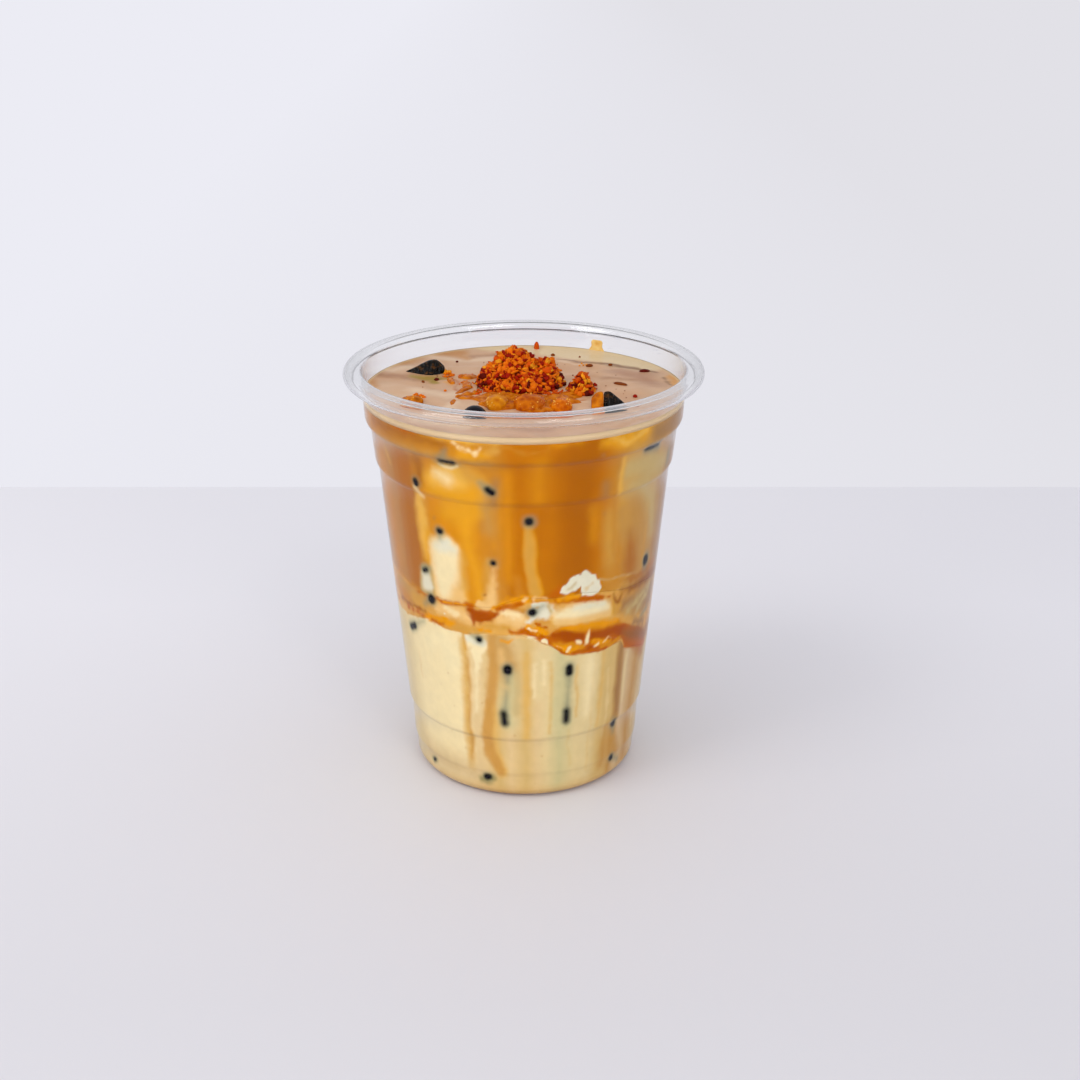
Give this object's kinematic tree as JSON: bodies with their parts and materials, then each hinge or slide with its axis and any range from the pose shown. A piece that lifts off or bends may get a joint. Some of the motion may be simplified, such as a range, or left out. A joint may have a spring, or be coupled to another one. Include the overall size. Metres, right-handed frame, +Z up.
{
  "type": "iced latte",
  "caption": "Layered iced milk coffee in a clear stepped plastic cup with a rolled rim, topped with golden crumble, amber jelly and pieces of black jelly.",
  "frame": {"origin": "centre of the cup's standing ring, on the surface it stands on", "axes": "+Z up along the cup's axis; -Y is the front, the side with the amber jelly lumps; +X to the right seen from the front"},
  "size_m": [0.098, 0.098, 0.1207],
  "materials": {
    "clear_plastic": "clear thin moulded plastic, glossy",
    "milk": "opaque cream-coloured milk with tan streaks",
    "caramel": "caramel syrup swirled through milk",
    "milk_coffee": "opaque caramel-brown milk coffee",
    "milk_foam": "smooth pinkish-beige milk coffee film",
    "golden_crumble": "crunchy toasted crumble, gold to deep red-brown",
    "dark_crumble": "dark red-brown toasted crumbs",
    "amber_jelly": "wet amber jelly with small bubbles",
    "black_jelly": "wet, glossy black jelly",
    "tapioca_pearl": "wet, near-black tapioca"
  },
  "bodies": {
    "root": {"cup": "clear_plastic", "milk_layer": "milk", "caramel_layer": "caramel", "coffee_layer": "milk_coffee", "milk_foam": "milk_foam", "crumble_heap": "golden_crumble", "crumb_cluster": "dark_crumble", "amber_cluster": "amber_jelly", "amber_lump_left": "amber_jelly", "amber_lump_middle": "amber_jelly", "amber_lump_right": "amber_jelly", "black_jelly_left": "black_jelly", "black_jelly_right": "black_jelly", "amber_block": "amber_jelly", "pearl": "tapioca_pearl"}
  },
  "joints": []
}
